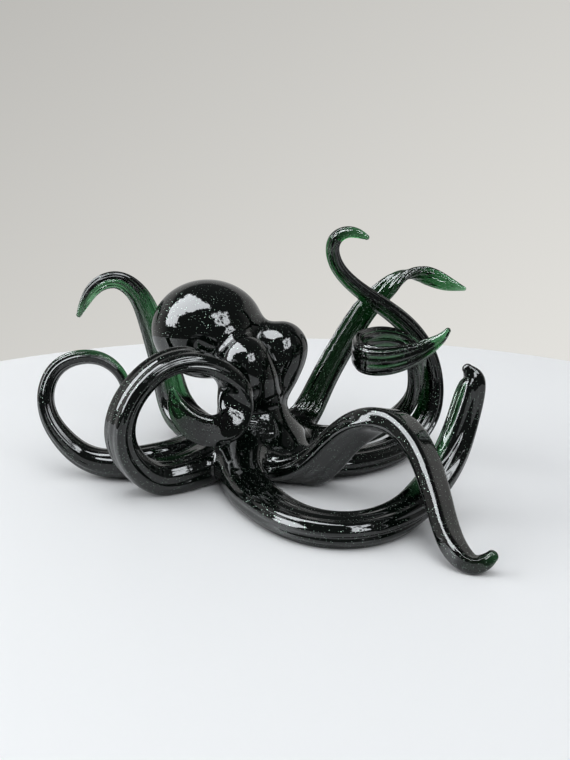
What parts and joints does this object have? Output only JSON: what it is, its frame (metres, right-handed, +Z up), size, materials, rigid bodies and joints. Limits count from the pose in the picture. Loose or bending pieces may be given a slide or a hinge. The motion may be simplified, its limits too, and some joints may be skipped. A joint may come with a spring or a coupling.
{
  "type": "glass octopus figurine",
  "caption": "A lampworked figurine of an octopus in dark green glass, with a round mantle, bulging eyes and fluted arms that curl, coil and sweep round its crown.",
  "frame": {"origin": "On the table, at the middle of the crown's flat foot.", "axes": "+X to the right as the figurine is looked at from the front, +Y away from the viewer toward the mantle's side, +Z up from the table."},
  "size_m": [0.1001, 0.0863, 0.0555],
  "materials": {
    "dark_green_glass": "polished, near-black green with fine glitter in the glass",
    "green_arm_glass": "polished and fluted, clearer and greener toward the thin tips"
  },
  "bodies": {
    "root": {"mantle": "dark_green_glass", "front_eye": "dark_green_glass", "back_eye": "dark_green_glass", "crown": "dark_green_glass", "front_loop_arm": "green_arm_glass", "sweeping_arm": "green_arm_glass", "arched_arm": "green_arm_glass", "tall_arm": "green_arm_glass", "left_curl_arm": "green_arm_glass", "coiled_arm": "green_arm_glass", "back_left_arm": "green_arm_glass", "back_right_arm": "green_arm_glass"}
  },
  "joints": []
}
